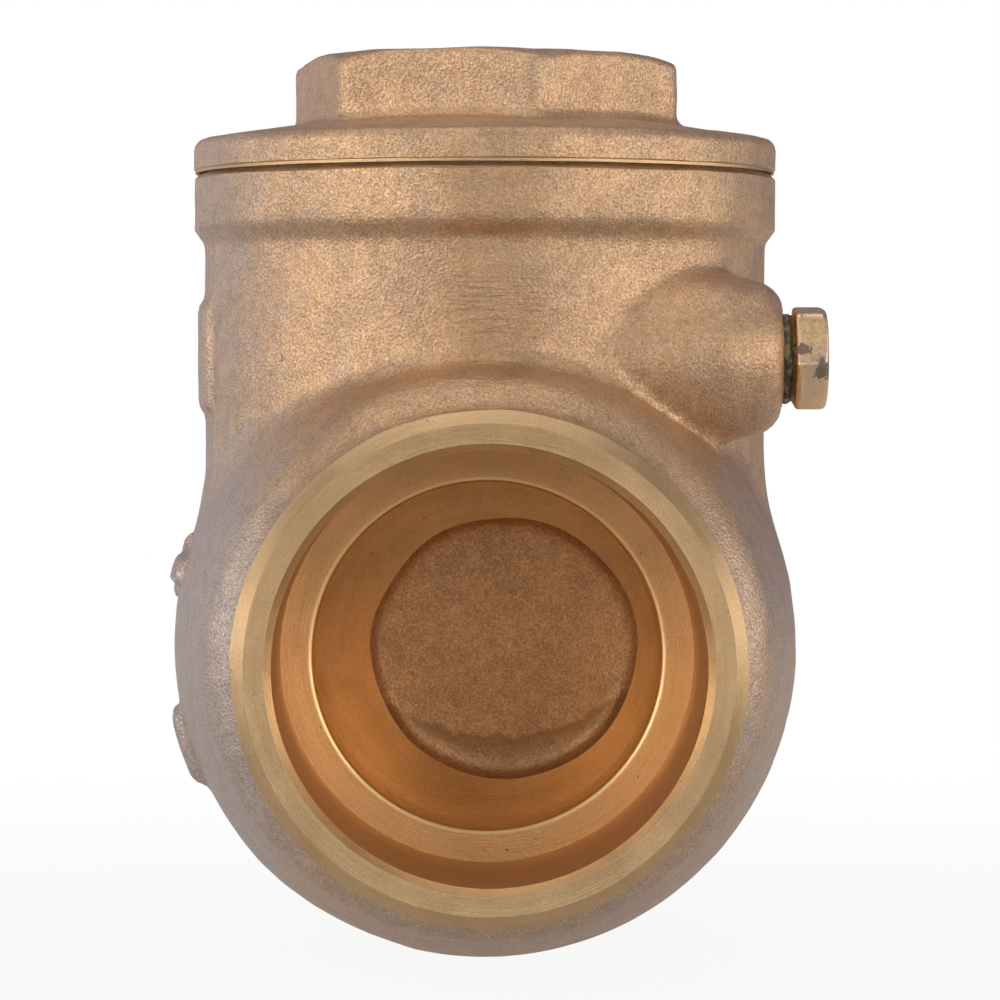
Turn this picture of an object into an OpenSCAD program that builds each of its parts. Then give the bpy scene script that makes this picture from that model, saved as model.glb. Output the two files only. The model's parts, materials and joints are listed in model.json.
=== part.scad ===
// Swing check valve with tube sockets, for soldering into a copper line.
// Flow runs along +Y. The origin is the middle of the inlet tube stop, +Z points to the cap.

/* [Tube sockets] */
// Outside diameter of the copper tube that is soldered in
tube_od = 34.93; // [28:0.01:42]
// Radial gap between tube and socket, filled by solder
solder_gap = 0.055; // [0.05:0.005:0.09]
// Depth of each socket, from its mouth to the tube stop
socket_depth = 24.6; // [18:0.1:30]
// Wall of the end boss around the socket
socket_wall = 3.28; // [2.5:0.05:4]
// Chamfer inside the mouth of each socket
mouth_chamfer = 0.6; // [0.2:0.05:1]
// Turned chamfer on the outer rim of each end face
rim_chamfer = 1.05; // [0.5:0.05:1.5]
// Diameter of the flow port between the tube stops
port_d = 29.44; // [26:0.02:31]
// Chamfer where each tube stop meets the port
stop_chamfer = 0.3; // [0.1:0.05:0.5]
// Distance between the two tube stops
stop_to_stop = 50.8; // [48:0.1:60]

/* [Cast body] */
// How far the barrel stands out from the end bosses
barrel_step = 6.95; // [6:0.05:9]
// Radius of the barrel's long bulge, seen from the side
bulge_r = 110; // [90:1:200]
// How far the rounded shoulder's centre lies outside the tube stop
shoulder_out = 2.5; // [0:0.1:4]
// Radius of the barrel's rounded shoulder
shoulder_r = 5; // [4:0.1:6]
// Radius of the hollow between shoulder and end boss
root_r = 2; // [1.5:0.1:3]
// Wall of the casting
wall = 3.4; // [2.8:0.05:4]
// Outside diameter of the neck
neck_d = 50.1; // [48:0.02:54]
// How much wider than the casting's own wall the neck is bored
neck_bored = 0.35; // [0:0.05:0.6]
// How far the collar stands out from the neck
collar_proud = 0.95; // [0.5:0.05:2]
// Height of the collar under the cap
collar_h = 4.7; // [3.5:0.1:6]
// Height of the slope between collar and neck
collar_slope = 1.3; // [0.8:0.1:2]
// Height of the collar's sealing face above the flow axis
neck_top = 41.7; // [39:0.1:50]

/* [Seat] */
// Distance on the flow axis from the inlet tube stop to the seat face
seat_y = 7.4; // [6.5:0.1:9]
// Lean of the seat face, its foot further downstream
seat_tilt = 7.5; // [5:0.5:9]
// Thickness of the wall between inlet tube stop and chamber
inlet_wall = 4; // [3:0.1:4.5]
// Thickness of the wall between chamber and outlet tube stop
outlet_wall = 2.6; // [2.2:0.1:3.4]
// Width of the seat's flat land
seat_land = 2.3; // [1.5:0.1:2.8]

/* [Disc] */
// How far the disc reaches past the port
disc_overlap = 2.45; // [1.8:0.05:2.8]
// Thickness of the disc
disc_t = 3; // [2.4:0.1:3.6]
// Diameter of the rough cast hollow in the disc's face
hollow_d = 22.6; // [18:0.1:26]
// Depth of that hollow
hollow_depth = 0.8; // [0.4:0.1:1.2]
// How far off centre the hollow was cast
hollow_shift = 1.5; // [0:0.1:2]
// Diameter of the stud on the disc's back
stud_d = 6; // [5:0.1:7]
// End play of the disc on its arm, on each side
disc_play = 0.2; // [0.1:0.05:0.4]
// Radial gap between the stud and the arm's hub
stud_gap = 0.15; // [0.1:0.05:0.3]
// Height of the boss on the disc's back, which the arm rests on
back_boss_h = 0.6; // [0.4:0.1:1.2]
// Stud left over past the nut
stud_over = 1.2; // [0.5:0.1:2]
// How far the washer's rim reaches past the stud
washer_rim = 2.6; // [2:0.1:3.4]
// Thickness of the disc washer
washer_t = 0.8; // [0.5:0.1:1.2]
// Width across flats of the disc nut
nut_af = 10; // [9:0.1:12]
// Thickness of the disc nut
nut_h = 3.2; // [2.6:0.1:4]

/* [Arm and hinge pin] */
// Thickness of the arm
arm_t = 3.4; // [2.8:0.1:4]
// Width of the arm below its eye
arm_w = 9; // [7:0.1:11]
// Wall of the hub round the stud
hub_wall = 3.4; // [2.5:0.1:4]
// Height of the hinge pin above the disc's centre, along the seat
pin_up = 24.8; // [24:0.1:27]
// Diameter of the hinge pin
pin_d = 4; // [3:0.1:4.6]
// Radial running clearance on the hinge pin
pin_gap = 0.05; // [0.02:0.01:0.08]
// Wall of the arm's eye round the hinge pin
eye_wall = 2.2; // [1.6:0.1:2.6]
// Half length of the arm's eye
eye_half = 8.2; // [6.5:0.1:9.5]
// Side play between the eye and the lugs
eye_play = 0.5; // [0.3:0.1:0.8]
// Room between the arm's eye and the neck's front wall
eye_room = 1.966; // [1:0.001:4]

/* [Pin plug] */
// Width across flats of the plug's head
plug_af = 8.3; // [7:0.1:10]
// Thickness of the plug's head
plug_head_h = 3.1; // [2.5:0.1:4]
// Diameter of the plug's thread
plug_d = 7.2; // [6.4:0.1:7.8]
// Thread left showing between boss and head
plug_showing = 1; // [0.5:0.1:2]
// Turn of the plug's head about its own axis
plug_turn = 37.8; // [0:0.1:60]
// Reach of the plug boss from the flow axis
boss_reach = 25.6; // [24.5:0.1:28]
// Radius of the plug boss at its root
boss_r = 7.8; // [7:0.1:9]

/* [Cap] */
// Diameter of the cap's flange
flange_d = 52.1; // [51:0.02:56]
// Height of the flange at its rim
flange_h = 2.9; // [2.4:0.1:4]
// Rise of the flange from its rim to the hexagon
flange_rise = 1.2; // [0.6:0.1:2]
// Width across flats of the hexagon
hex_af = 31; // [28:0.1:36]
// Height of the hexagon
hex_h = 6.4; // [5:0.1:9]
// Slope of the bevel round the hexagon's top
hex_bevel = 20; // [10:1:35]
// Turn of the hexagon where it was tightened
hex_turn = -15.7; // [-30:0.1:30]
// Thickness of the cap gasket
gasket_t = 0.2; // [0.1:0.05:0.6]
// Length of the cap's threaded spigot
spigot_h = 7; // [5:0.1:8]
// Depth of the cap's thread
thread_depth = 0.6; // [0.4:0.05:0.8]
// Wall of the cap
cap_wall = 3; // [2.4:0.1:3.6]

/* [Raised cast marks] */
// How far the flow arrow and the plain bar stand proud
mark_proud = 1; // [0.6:0.1:1.4]
// How far the plain pad on the neck stands proud
pad_proud = 0.65; // [0.4:0.05:1]
// Height of the arrow head and of the bar
mark_h = 6.3; // [5:0.1:8]

/* [Hidden] */
$fn = 96;

cast = [0.70, 0.54, 0.39];
turned = [0.80, 0.62, 0.38];
steel = [0.66, 0.66, 0.67];
fibre = [0.30, 0.27, 0.24];

socket_r = tube_od / 2 + solder_gap;
boss_or = socket_r + socket_wall;
port_r = port_d / 2;
barrel_r = boss_or + barrel_step;
neck_r = neck_d / 2;
collar_r = neck_r + collar_proud;
mid_y = stop_to_stop / 2;
half_length = mid_y + socket_depth;

neck_bore_r = neck_r - wall + neck_bored;

disc_r = port_r + disc_overlap;
stud_r = stud_d / 2;
washer_gap = 0.1;
nut_gap = 0.02;
nut_r = nut_af / sqrt(3);
nut_bevel = 0.5;
hub_or = stud_r + stud_gap + hub_wall;
arm_back = disc_t + back_boss_h + disc_play;
washer_back = arm_back + arm_t + disc_play;
nut_back = washer_back + washer_t;
stud_end = nut_back + nut_h + stud_over;

pin_r = pin_d / 2;
pin_back = arm_back + arm_t / 2;
pin_y = seat_y + pin_back * cos(seat_tilt) - pin_up * sin(seat_tilt);
pin_z = pin_back * sin(seat_tilt) + pin_up * cos(seat_tilt);
eye_r = pin_r + pin_gap + eye_wall;
lug_face = eye_half + eye_play;
lug_over = 0.3;
lug_r = eye_r + lug_over;

// The neck's axis leaves room for the arm's eye behind its front wall
neck_y = pin_y - eye_r - eye_room + neck_bore_r;

// Half width of the neck, outside and inside, where the hinge pin crosses it
pin_offset = neck_y - pin_y;
wall_outer_x = sqrt(neck_r * neck_r - pin_offset * pin_offset);
wall_inner_x = sqrt(neck_bore_r * neck_bore_r - pin_offset * pin_offset);
blind_skin = 1.8;
pin_left = wall_outer_x - blind_skin;
plug_depth = boss_reach - wall_inner_x - blind_skin;
plug_r = plug_d / 2;
plug_gap = 0.05;
pin_end_play = 0.4;
pin_right = boss_reach - plug_depth - pin_end_play;

cap_z = neck_top + gasket_t;
flange_r = flange_d / 2;
hex_r = hex_af / sqrt(3);
crown_h = 2;
thread_r = neck_bore_r + thread_depth;
thread_runout = 1.5;
thread_h = spigot_h + thread_runout;
thread_gap = 0.15;
gasket_set_out = 0.3;
gasket_set_in = 0.7;
gasket_inner_r = thread_r + gasket_set_out;
gasket_outer_r = collar_r - gasket_set_in;

// Bulge, shoulder and root circles touch on the lines between their centres
bulge_c = [barrel_r - bulge_r, 0];
shoulder_s = mid_y + shoulder_out;
shoulder_c = [bulge_c[0] + sqrt(pow(bulge_r - shoulder_r, 2) - pow(shoulder_s, 2)), shoulder_s];
bulge_end_s = shoulder_s * bulge_r / (bulge_r - shoulder_r);
root_rise = boss_or + root_r - shoulder_c[0];
root_c = [boss_or + root_r, shoulder_s + sqrt(pow(shoulder_r + root_r, 2) - pow(root_rise, 2))];

// Turns a shape drawn round +Z so that it lies round the flow axis, centred on the neck
module along_flow() {
    translate([0, mid_y, 0]) rotate([-90, 0, 0]) children();
}

// Turns a shape drawn round +Z so that it lies round the hinge pin's axis, along +X
module along_pin() {
    translate([0, pin_y, pin_z]) rotate([0, 90, 0]) children();
}

// Frame of the seat: +Y leaves the seat face, +Z climbs to the hinge pin
module on_seat() {
    translate([0, seat_y, 0]) rotate([seat_tilt, 0, 0]) children();
}

// Turns a shape drawn round +Z so that it stands on the seat's back, round the disc's axis
module on_disc_axis(back) {
    on_seat() translate([0, back, 0]) rotate([-90, 0, 0]) children();
}

// Half of the barrel's outline, from its middle to one end face
module barrel_half(grow) {
    intersection() {
        translate(bulge_c) circle(r = bulge_r + grow, $fn = 720);
        square([barrel_r + grow, bulge_end_s]);
    }
    difference() {
        union() {
            translate(shoulder_c) circle(r = shoulder_r + grow);
            polygon([[0, 0], shoulder_c, root_c, [boss_or + grow, root_c[1]], [0, root_c[1]]]);
        }
        translate(root_c) circle(r = root_r - grow);
    }
    polygon([
        [0, 0], [boss_or + grow, 0], [boss_or + grow, half_length - rim_chamfer],
        [boss_or - rim_chamfer, half_length], [0, half_length]
    ]);
}

module barrel(grow = 0) {
    along_flow() rotate_extrude() {
        barrel_half(grow);
        mirror([0, 1]) barrel_half(grow);
    }
}

module neck() {
    edge = 0.4;
    shoulder_z = neck_top - collar_h;
    translate([0, neck_y, 0]) rotate_extrude() {
        polygon([
            [0, 0], [neck_r, 0], [neck_r, shoulder_z - collar_slope], [collar_r, shoulder_z],
            [collar_r, neck_top - edge], [collar_r - edge, neck_top - edge], [collar_r - edge, neck_top],
            [0, neck_top]
        ]);
        translate([collar_r - edge, neck_top - edge]) circle(r = edge);
    }
}

// Boss that carries the pin plug, a blunt cone on the neck's right flank
module plug_boss() {
    nose_r = 1.9;
    taper = 0.8;
    tip_r = boss_r * taper;
    along_pin() rotate_extrude() {
        polygon([
            [0, lug_face], [boss_r, lug_face], [tip_r, boss_reach - nose_r],
            [tip_r - nose_r, boss_reach - nose_r], [tip_r - nose_r, boss_reach], [0, boss_reach]
        ]);
        translate([tip_r - nose_r, boss_reach - nose_r]) circle(r = nose_r);
    }
}

// Outline of a flow arrow, its head downstream
module arrow_outline() {
    length = 24;
    head = 8;
    shaft_share = 0.4;
    shaft = mark_h * shaft_share;
    polygon([
        [-length / 2, -shaft / 2], [length / 2 - head, -shaft / 2], [length / 2 - head, -mark_h / 2],
        [length / 2, 0],
        [length / 2 - head, mark_h / 2], [length / 2 - head, shaft / 2], [-length / 2, shaft / 2]
    ]);
}

// Stands an outline drawn in flow direction and height on the left flank
module left_relief(z) {
    translate([0, mid_y, z]) rotate([90, 0, -90]) linear_extrude(barrel_r + 2 * mark_proud)
        mirror([1, 0, 0]) children();
}

module raised_marks() {
    bar_length = 22;
    pad_length = 14;
    pad_h = 9.6;
    arrow_z = 6.85;
    bar_z = -8.85;
    pad_z = 25.5;
    intersection() {
        barrel(mark_proud);
        left_relief(arrow_z) arrow_outline();
    }
    intersection() {
        barrel(mark_proud);
        left_relief(bar_z) square([bar_length, mark_h], center = true);
    }
    intersection() {
        translate([0, neck_y, 0]) cylinder(r = neck_r + pad_proud, h = neck_top);
        left_relief(pad_z) square([pad_length, pad_h], center = true);
    }
}

// Socket, tube stop and port at one end, as one turned hole
module socket_hole() {
    over = 1;
    rotate_extrude() polygon([
        [0, -over], [socket_r + mouth_chamfer + over, -over],
        [socket_r + mouth_chamfer, 0], [socket_r, mouth_chamfer],
        [socket_r, socket_depth], [port_r + stop_chamfer, socket_depth],
        [port_r, socket_depth + stop_chamfer], [port_r, socket_depth + mid_y], [0, socket_depth + mid_y]
    ]);
}

// Space inside the barrel, between its two end walls
module chamber() {
    along_flow() rotate_extrude() intersection() {
        translate(bulge_c) circle(r = bulge_r - wall, $fn = 720);
        translate([0, inlet_wall - mid_y]) square([barrel_r, stop_to_stop - inlet_wall - outlet_wall]);
    }
}

// Space inside the neck, with the wider threaded mouth for the cap
module neck_hole() {
    over = 1;
    translate([0, neck_y, 0]) rotate_extrude() polygon([
        [0, 0], [neck_bore_r, 0], [neck_bore_r, neck_top - thread_h],
        [thread_r, neck_top - thread_h + thread_depth], [thread_r, neck_top + over], [0, neck_top + over]
    ]);
}

// Seat ring round the port, faced off square to the seat's own axis
module seat_ring() {
    ring_r = port_r + seat_land;
    reach = 2 * ring_r;
    difference() {
        translate([0, inlet_wall / 2, 0]) rotate([-90, 0, 0]) cylinder(r = ring_r, h = seat_y + disc_t);
        on_seat() translate([-reach, 0, -reach]) cube(2 * reach);
    }
}

// Lug inside the neck that carries one end of the hinge pin
module pin_lug(side) {
    into_wall = 1;
    reach = wall_outer_x + into_wall;
    intersection() {
        along_pin() translate([0, 0, side > 0 ? lug_face : -reach])
            cylinder(r = lug_r, h = reach - lug_face);
        translate([0, neck_y, 0]) cylinder(r = neck_bore_r + into_wall, h = neck_top);
    }
}

module valve_body() {
    over = 1;
    color(cast) difference() {
        union() {
            difference() {
                union() {
                    barrel();
                    neck();
                    plug_boss();
                    raised_marks();
                }
                chamber();
                neck_hole();
            }
            seat_ring();
            pin_lug(1);
            pin_lug(-1);
        }
        translate([0, -socket_depth, 0]) rotate([-90, 0, 0]) socket_hole();
        translate([0, stop_to_stop + socket_depth, 0]) rotate([90, 0, 0]) socket_hole();
        along_pin() translate([0, 0, -pin_left]) cylinder(r = pin_r + pin_gap, h = pin_left + boss_reach);
        along_pin() translate([0, 0, boss_reach - plug_depth])
            cylinder(r = plug_r + plug_gap, h = plug_depth + over);
    }
}

module cap() {
    over = 1;
    rim_edge = 0.9;
    under_hex = 1;
    lip_h = 0.25;
    lip_in = 0.15;
    foot_chamfer = 0.75;
    bore_short = 0.5;
    spigot_r = thread_r - thread_gap;
    hollow_r = thread_r - cap_wall;
    crown_r = hex_af / 2 - cap_wall;
    foot_z = cap_z - spigot_h;
    hex_z = cap_z + flange_h + flange_rise;
    top_z = hex_z + hex_h;
    crown_z = top_z - cap_wall;
    color(cast) translate([0, neck_y, 0]) difference() {
        union() {
            rotate_extrude() {
                polygon([
                    [0, foot_z], [spigot_r - foot_chamfer, foot_z],
                    [spigot_r, foot_z + foot_chamfer], [spigot_r, cap_z],
                    [flange_r - lip_in, cap_z], [flange_r - lip_in, cap_z + lip_h],
                    [flange_r, cap_z + lip_h + lip_in], [flange_r, cap_z + flange_h - rim_edge],
                    [flange_r - rim_edge, cap_z + flange_h], [hex_r - under_hex, hex_z], [0, hex_z]
                ]);
                translate([flange_r - rim_edge, cap_z + flange_h - rim_edge]) circle(r = rim_edge);
            }
            intersection() {
                translate([0, 0, cap_z]) rotate([0, 0, hex_turn])
                    cylinder(r = hex_r, h = top_z - cap_z, $fn = 6);
                crown_bevel(top_z);
            }
        }
        rotate_extrude() polygon([
            [0, foot_z - over], [hollow_r, foot_z - over], [hollow_r, cap_z - bore_short],
            [crown_r, cap_z + flange_h], [crown_r, crown_z - crown_h], [crown_r - crown_h, crown_z],
            [0, crown_z]
        ]);
    }
}

// Blunt cone that takes the corners off the hexagon's top
module crown_bevel(top_z) {
    flat_in = 0.2;
    flat_r = hex_af / 2 - flat_in;
    outer_r = hex_r + 1;
    drop = (outer_r - flat_r) * tan(hex_bevel);
    rotate_extrude() polygon([
        [0, cap_z], [outer_r, cap_z], [outer_r, top_z - drop], [flat_r, top_z], [0, top_z]
    ]);
}

module cap_gasket() {
    color(fibre) translate([0, neck_y, neck_top]) difference() {
        cylinder(r = gasket_outer_r, h = gasket_t);
        translate([0, 0, -gasket_t]) cylinder(r = gasket_inner_r, h = 3 * gasket_t);
    }
}

// Disc with its stud; the face is turned flat round a hollow that stays rough
module disc() {
    edge = 0.5;
    back_edge = 0.8;
    boss_in = 1;
    boss_draft = 0.4;
    over = 1;
    brink = 0.1;
    draft = 0.4;
    foot_h = 0.2;
    foot_w = 0.5;
    boss_foot_r = hub_or - boss_in;
    boss_z = disc_t + back_boss_h;
    hollow_r = hollow_d / 2;
    foot_r = hollow_r - draft;
    color(cast) difference() {
        on_disc_axis(0) rotate_extrude() polygon([
            [0, 0], [disc_r - edge, 0], [disc_r, edge],
            [disc_r, disc_t - back_edge], [disc_r - back_edge, disc_t],
            [boss_foot_r, disc_t], [boss_foot_r - boss_draft, boss_z],
            [stud_r, boss_z], [stud_r, stud_end - edge], [stud_r - edge, stud_end], [0, stud_end]
        ]);
        on_disc_axis(0) translate([hollow_shift, 0, 0]) rotate_extrude() polygon([
            [0, -over], [hollow_r, -over], [hollow_r, brink], [foot_r, hollow_depth - foot_h],
            [foot_r - foot_w, hollow_depth], [0, hollow_depth]
        ]);
    }
}

// Arm: an eye on the hinge pin, a strap, and a hub that holds the disc's stud
module hinge_arm() {
    over = 1;
    strap_share = 0.75;
    strap_top = eye_half * strap_share;
    strap_foot = arm_w / 2;
    color(cast) difference() {
        union() {
            along_pin() translate([0, 0, -eye_half]) cylinder(r = eye_r, h = 2 * eye_half);
            on_disc_axis(arm_back) cylinder(r = hub_or, h = arm_t);
            on_disc_axis(arm_back) linear_extrude(arm_t) polygon([
                [-strap_top, -pin_up], [strap_top, -pin_up],
                [strap_foot, -hub_or], [strap_foot, 0], [-strap_foot, 0], [-strap_foot, -hub_or]
            ]);
        }
        along_pin() translate([0, 0, -2 * eye_half]) cylinder(r = pin_r + pin_gap, h = 4 * eye_half);
        on_disc_axis(arm_back - over) cylinder(r = stud_r + stud_gap, h = arm_t + 2 * over);
    }
}

module disc_washer() {
    color(turned) on_disc_axis(washer_back) difference() {
        cylinder(r = stud_r + washer_rim, h = washer_t);
        translate([0, 0, -washer_t]) cylinder(r = stud_r + washer_gap, h = 3 * washer_t);
    }
}

module disc_nut() {
    color(turned) on_disc_axis(nut_back) difference() {
        intersection() {
            cylinder(r = nut_r, h = nut_h, $fn = 6);
            rotate_extrude() polygon([
                [0, 0], [nut_r, 0], [nut_r, nut_h - nut_bevel], [nut_af / 2, nut_h], [0, nut_h]
            ]);
        }
        translate([0, 0, -nut_h]) cylinder(r = stud_r + nut_gap, h = 3 * nut_h);
    }
}

module hinge_pin() {
    edge = 0.4;
    start = pin_end_play - pin_left;
    color(steel) along_pin() rotate_extrude() polygon([
        [0, start], [pin_r - edge, start], [pin_r, start + edge],
        [pin_r, pin_right - edge], [pin_r - edge, pin_right], [0, pin_right]
    ]);
}

// Screwed plug that closes the pin hole, its head held off the boss by the thread
module pin_plug() {
    head_z = boss_reach + plug_showing;
    foot_z = boss_reach - plug_depth;
    top_z = head_z + plug_head_h;
    corner_r = plug_af / sqrt(3);
    lead = 0.7;
    flare = 0.4;
    bevel = 0.5;
    color(turned) along_pin() union() {
        rotate_extrude() polygon([
            [0, foot_z], [plug_r - lead, foot_z], [plug_r, foot_z + lead], [plug_r, head_z - flare],
            [plug_r + flare, head_z], [plug_r, head_z + flare], [0, head_z + flare]
        ]);
        rotate([0, 0, plug_turn]) intersection() {
            translate([0, 0, head_z]) cylinder(r = corner_r, h = plug_head_h, $fn = 6);
            rotate_extrude() polygon([
                [0, head_z], [plug_af / 2, head_z], [corner_r, head_z + bevel],
                [corner_r, top_z - bevel], [plug_af / 2, top_z], [0, top_z]
            ]);
        }
    }
}

valve_body();
cap();
cap_gasket();
disc();
hinge_arm();
disc_washer();
disc_nut();
hinge_pin();
pin_plug();
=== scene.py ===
import json
import math

import bpy
import bmesh
import numpy as np
from mathutils import Matrix, Vector


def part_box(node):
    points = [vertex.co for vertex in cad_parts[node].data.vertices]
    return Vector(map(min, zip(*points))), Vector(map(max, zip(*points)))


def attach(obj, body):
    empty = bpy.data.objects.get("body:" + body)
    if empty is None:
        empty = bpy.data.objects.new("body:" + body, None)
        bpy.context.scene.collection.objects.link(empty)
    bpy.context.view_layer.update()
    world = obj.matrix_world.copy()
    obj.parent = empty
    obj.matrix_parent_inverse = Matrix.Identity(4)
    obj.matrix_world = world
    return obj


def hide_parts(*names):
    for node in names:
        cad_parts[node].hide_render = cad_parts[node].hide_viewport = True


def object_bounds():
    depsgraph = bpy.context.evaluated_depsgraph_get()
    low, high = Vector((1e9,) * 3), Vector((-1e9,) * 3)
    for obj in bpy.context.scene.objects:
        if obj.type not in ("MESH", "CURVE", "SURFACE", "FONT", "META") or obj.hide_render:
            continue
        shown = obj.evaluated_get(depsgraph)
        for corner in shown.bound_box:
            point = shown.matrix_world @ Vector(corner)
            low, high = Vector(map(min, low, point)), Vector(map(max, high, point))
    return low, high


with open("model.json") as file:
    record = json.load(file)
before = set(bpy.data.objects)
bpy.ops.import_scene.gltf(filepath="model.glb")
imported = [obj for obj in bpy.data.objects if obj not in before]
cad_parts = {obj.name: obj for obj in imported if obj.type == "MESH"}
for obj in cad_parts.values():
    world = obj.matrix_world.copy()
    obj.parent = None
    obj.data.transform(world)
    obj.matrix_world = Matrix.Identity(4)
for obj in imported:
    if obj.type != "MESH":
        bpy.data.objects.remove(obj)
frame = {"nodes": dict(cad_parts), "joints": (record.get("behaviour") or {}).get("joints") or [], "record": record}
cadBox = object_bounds()
mm = 0.001


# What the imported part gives: places in millimetres, in its own frame
def mountNamed(name):
    return next(m for m in frame["record"]["mounts"] if m["name"] == name)


def jointNamed(name):
    return next(j for j in frame["joints"] if j["name"] == name)


def boxOf(node):
    low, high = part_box(node)
    return np.array(low) / mm, np.array(high) / mm


bodyLow, bodyHigh = boxOf("valve_body")
capTop = boxOf("cap")[1][2]
inlet = mountNamed("inlet_socket")
outlet = mountNamed("outlet_socket")
hinge = jointNamed("arm_swing")
spin = jointNamed("disc_spin")

faceIn = bodyLow[1]
faceOut = bodyHigh[1]
stopIn = inlet["pos_m"][1] / mm
stopOut = outlet["pos_m"][1] / mm
socketR = inlet["dims"]["r_mm"]
midY = (faceIn + faceOut) / 2
neckTop = bodyHigh[2]
capBase = boxOf("cap_gasket")[1][2]
pinY = hinge["pos_m"][1] / mm
pinZ = hinge["pos_m"][2] / mm
seatY = spin["pos_m"][1] / mm
tilt = math.atan2(spin["axis"][2], spin["axis"][1])
seatAxis = (0, math.cos(tilt), math.sin(tilt))
print("stage: frame read")


# A shader value that can be written in ordinary sums
class Wire:
    def __init__(self, net, socket):
        self.net = net
        self.socket = socket

    def sum(self, operation, first, second):
        return self.net.add("ShaderNodeMath", {"operation": operation}, {0: first, 1: second})

    def __add__(self, other):
        return self.sum("ADD", self, other)

    def __radd__(self, other):
        return self.sum("ADD", other, self)

    def __sub__(self, other):
        return self.sum("SUBTRACT", self, other)

    def __rsub__(self, other):
        return self.sum("SUBTRACT", other, self)

    def __mul__(self, other):
        return self.sum("MULTIPLY", self, other)

    def __rmul__(self, other):
        return self.sum("MULTIPLY", other, self)

    def __pow__(self, other):
        return self.sum("POWER", self, other)


# One material's nodes; every node is made by add
class Net:
    def __init__(self, tree):
        self.tree = tree
        self.tree.nodes.clear()

    def add(self, kind, settings, inputs, out=0):
        made = self.tree.nodes.new(kind)
        for key, value in settings.items():
            setattr(made, key, value)
        for key, value in inputs.items():
            if isinstance(value, Wire):
                self.tree.links.new(value.socket, made.inputs[key])
            else:
                made.inputs[key].default_value = value
        if out is None:
            return [Wire(self, socket) for socket in made.outputs]
        return Wire(self, made.outputs[out])

    def place(self):  # in millimetres
        coord = self.add("ShaderNodeTexCoord", {}, {}, "Object")
        return self.add("ShaderNodeVectorMath", {"operation": "SCALE"}, {0: coord, "Scale": 1 / mm})

    def apart(self, vector):
        return self.add("ShaderNodeSeparateXYZ", {}, {0: vector}, None)

    def noise(self, place, size, detail=2.0, rough=0.5, seed=0.0):
        return self.add("ShaderNodeTexNoise", {"noise_dimensions": "4D"}, {
            "Vector": place, "W": seed, "Scale": 1 / size, "Detail": detail, "Roughness": rough})

    def cells(self, place, size):
        return self.add("ShaderNodeTexVoronoi", {}, {"Vector": place, "Scale": 1 / size}, "Distance")

    def ease(self, value, low, high, lowTo=0.0, highTo=1.0):
        return self.add("ShaderNodeMapRange", {"interpolation_type": "SMOOTHSTEP"}, {
            "Value": value, "From Min": low, "From Max": high, "To Min": lowTo, "To Max": highTo})

    def mix(self, share, first, second, blend="MIX"):
        return self.add("ShaderNodeMix", {"data_type": "RGBA", "blend_type": blend}, {
            0: share, 6: first, 7: second}, 2)

    def grey(self, level):
        return self.add("ShaderNodeCombineColor", {}, {0: level, 1: level, 2: level})

    def shaded(self, colour, level):
        return self.mix(1.0, colour, self.grey(level), "MULTIPLY")

    def relief(self, height, depth):
        return self.add("ShaderNodeBump", {}, {"Strength": 1.0, "Distance": depth * mm, "Height": height})

    def finish(self, colour, rough, metallic, normal):
        shader = self.add("ShaderNodeBsdfPrincipled", {}, {
            "Base Color": colour, "Roughness": rough, "Metallic": metallic, "Normal": normal})
        self.add("ShaderNodeOutputMaterial", {}, {"Surface": shader}, None)


def newFinish(name):
    material = bpy.data.materials.new(name)
    material.use_nodes = True
    return material, Net(material.node_tree)


# Sand-cast bronze: fine grains of gold and tan, faintly lilac in places, with a lilac sheen painted on the lower
# and left sides as reflected light
castLook = {
    "gold": (0.62, 0.385, 0.215, 1),
    "tan": (0.49, 0.315, 0.19, 1),
    "lilac": (0.47, 0.37, 0.31, 1),
    "lilacShare": 0.4,
    "lilacBelow": (20.0, 4.0, 0.45),
    "lilacLeft": (-13.0, -24.0, 0.5),
    "grain": 0.19,
    "swell": 1.2,
    "fleck": 0.5,
    "patch": 6.0,
    "rough": (0.40, 0.58),
    "metallic": 0.85,
    "depth": 0.06,
}
hollowLook = dict(castLook)
hollowLook.update({
    "gold": (0.68, 0.41, 0.205, 1),
    "tan": (0.57, 0.34, 0.175, 1),
    "lilac": (0.55, 0.36, 0.21, 1),
    "lilacBelow": (20.0, 4.0, 0.0),
    "lilacLeft": (-13.0, -24.0, 0.0),
    "rough": (0.5, 0.64),
    "depth": 0.03,
})


# Colour, roughness and height of a cast surface
def castSkinOf(net, place, look, extra=0.0):
    grain = net.noise(place, look["grain"], 2.0, 0.65)
    pebble = net.cells(place, look["grain"] * 1.6)
    swell = net.noise(place, look["swell"], 2.0, 0.5, 3.0)
    fleck = net.noise(place, look["fleck"], 2.0, 0.7, 11.0)
    patch = net.noise(place, look["patch"], 4.0, 0.65, 7.0)
    warm = net.mix(net.ease(patch * 0.55 + fleck * 0.45, 0.40, 0.60), look["tan"], look["gold"])
    cool = net.ease(net.noise(place, look["patch"] * 0.6, 4.0, 0.7, 19.0) * 0.7 + fleck * 0.3, 0.48, 0.66)
    across, _, up = net.apart(place)
    # Painted sheen: a lilac tint added low down and on the left stands in for the pale surroundings those sides
    # reflect
    top, foot, share = look["lilacBelow"]
    cool = cool * look["lilacShare"] + net.ease(up, foot, top, share, 0.0)
    near, far, share = look["lilacLeft"]
    cool = net.ease(cool + net.ease(across, far, near, share, 0.0), 0.0, 1.0)
    light = net.ease(grain * 0.75 + swell * 0.25, 0.34, 0.66, 0.74, 1.2)
    colour = net.shaded(net.mix(cool, warm, look["lilac"]), light)
    height = grain * 0.7 + net.ease(pebble, 0.0, 0.7, 0.45, 0.0) + swell * 0.3 + extra
    rough = net.ease(grain, 0.3, 0.7, look["rough"][1], look["rough"][0])
    return colour, rough, height


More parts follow.
